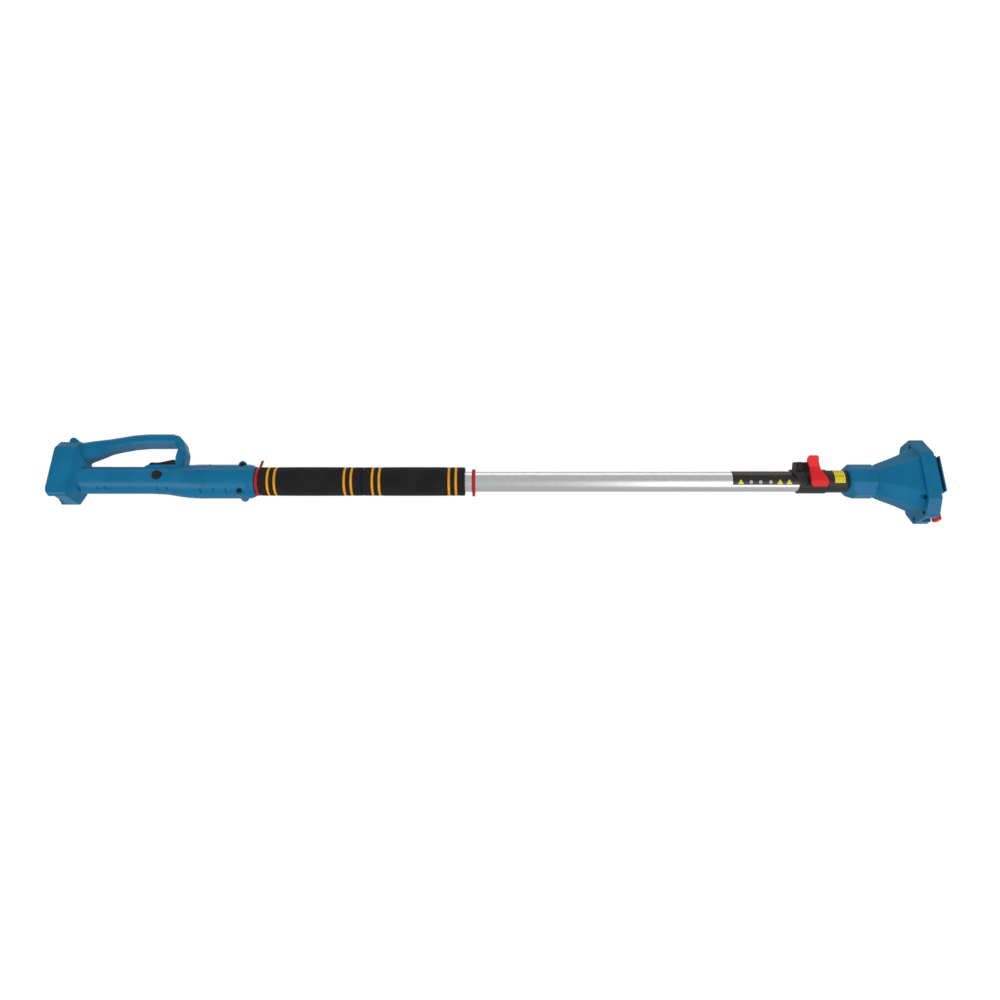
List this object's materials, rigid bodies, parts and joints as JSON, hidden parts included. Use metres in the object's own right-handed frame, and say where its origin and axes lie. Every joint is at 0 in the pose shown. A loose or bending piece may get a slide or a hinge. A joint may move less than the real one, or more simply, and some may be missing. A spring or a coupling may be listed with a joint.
{
  "type": "telescoping pole for a battery pole saw",
  "caption": "Telescoping tube pole with a trigger handle and battery seat at one end, foam grips, a lever clamp, and a latched head that carries and powers a small saw.",
  "frame": {"origin": "on the pole's axis, on the floor of the battery seat", "axes": "+X along the pole from the battery seat to the saw's head; +Z the side of the hand guard and trigger; -Y the side of the clamp lever"},
  "size_m": [1.2004, 0.0741, 0.124],
  "materials": {
    "handle_plastic": "satin teal moulding",
    "head_plastic": "satin teal moulding",
    "black_plastic": "fine matt texture",
    "clamp_plastic": "fine matt texture",
    "bush_plastic": "smooth",
    "ferrule_black": "semi-gloss",
    "silver_tube": "satin anodised",
    "black_tube": "black anodised",
    "grip_foam": "closed-cell foam",
    "stripe_yellow": "matt",
    "ring_red": "satin",
    "label_black": "printed film",
    "label_yellow": "printed film",
    "lever_red": "semi-gloss",
    "latch_red": "semi-gloss",
    "steel": "zinc plated",
    "spring_steel": "drawn wire",
    "rail_steel": "pressed strip",
    "contact_brass": "tinned brass",
    "circuit_board": "lacquered board",
    "cord_rubber": "matt sheath"
  },
  "bodies": {
    "pole": {"handle_shell_left": "handle_plastic", "handle_shell_right": "handle_plastic", "shell_screws": "steel", "tube_bolts": "steel", "tube_nuts": "steel", "battery_terminal_block": "black_plastic", "battery_contact_blades": "contact_brass", "controller_board": "circuit_board", "trigger_pin": "steel", "trigger_spring": "spring_steel", "trigger_switch": "black_plastic", "lock_off_spring": "spring_steel", "outer_tube": "silver_tube", "rear_cord_anchor": "black_plastic", "coiled_lead": "cord_rubber", "rear_lead": "cord_rubber", "foam_grip_rear": "grip_foam", "foam_grip_front": "grip_foam", "grip_stripes": "stripe_yellow", "grip_ring_rear": "ring_red", "grip_ring_front": "ring_red", "info_label": "label_black", "clamp_collar": "clamp_plastic", "clamp_bush": "bush_plastic", "pressure_pad": "bush_plastic", "lever_pin": "steel", "pinch_screws": "steel", "pinch_nuts": "steel"},
    "trigger": {"trigger": "black_plastic"},
    "lock_off": {"lock_off_button": "black_plastic"},
    "lever": {"clamp_lever": "lever_red"},
    "extension": {"inner_tube": "black_tube", "inner_tube_guide": "black_plastic", "front_cord_anchor": "black_plastic", "front_lead": "cord_rubber", "tube_ferrule": "ferrule_black", "ferrule_label": "label_yellow", "head_screws": "steel", "head_bell": "head_plastic", "head_front_plate": "head_plastic", "collar_screw": "steel", "tool_rail_block": "head_plastic", "tool_rail_strips": "rail_steel", "tool_terminal_block": "black_plastic", "tool_contact_blades": "contact_brass", "latch_spring": "spring_steel"},
    "latch": {"release_latch": "latch_red"}
  },
  "joints": [
    {"name": "pole_extend", "type": "slide", "parent": "pole", "child": "extension", "axis": [1, 0, 0], "range_m": [0, 0.6], "deforming": ["coiled_lead"]},
    {"name": "clamp_release", "type": "hinge", "parent": "pole", "child": "lever", "pos_m": [1.02, -0.02065, -0.009], "axis": [1, 0, 0], "range_deg": [0, 90]},
    {"name": "trigger_pull", "type": "hinge", "parent": "pole", "child": "trigger", "pos_m": [0.117, 0, 0.015], "axis": [0, 1, 0], "range_deg": [0, 6.5], "stiffness_Nm_per_rad": 0.25, "springref_deg": -8.59, "deforming": ["trigger_spring"]},
    {"name": "lock_off_press", "type": "slide", "parent": "pole", "child": "lock_off", "axis": [0, 1, 0], "range_m": [0, 0.004], "stiffness_N_per_m": 400, "springref_m": -0.004, "deforming": ["lock_off_spring"]},
    {"name": "latch_press", "type": "slide", "parent": "extension", "child": "latch", "axis": [-1, 0, 0], "range_m": [0, 0.005], "stiffness_N_per_m": 600, "springref_m": -0.004, "deforming": ["latch_spring"]}
  ]
}
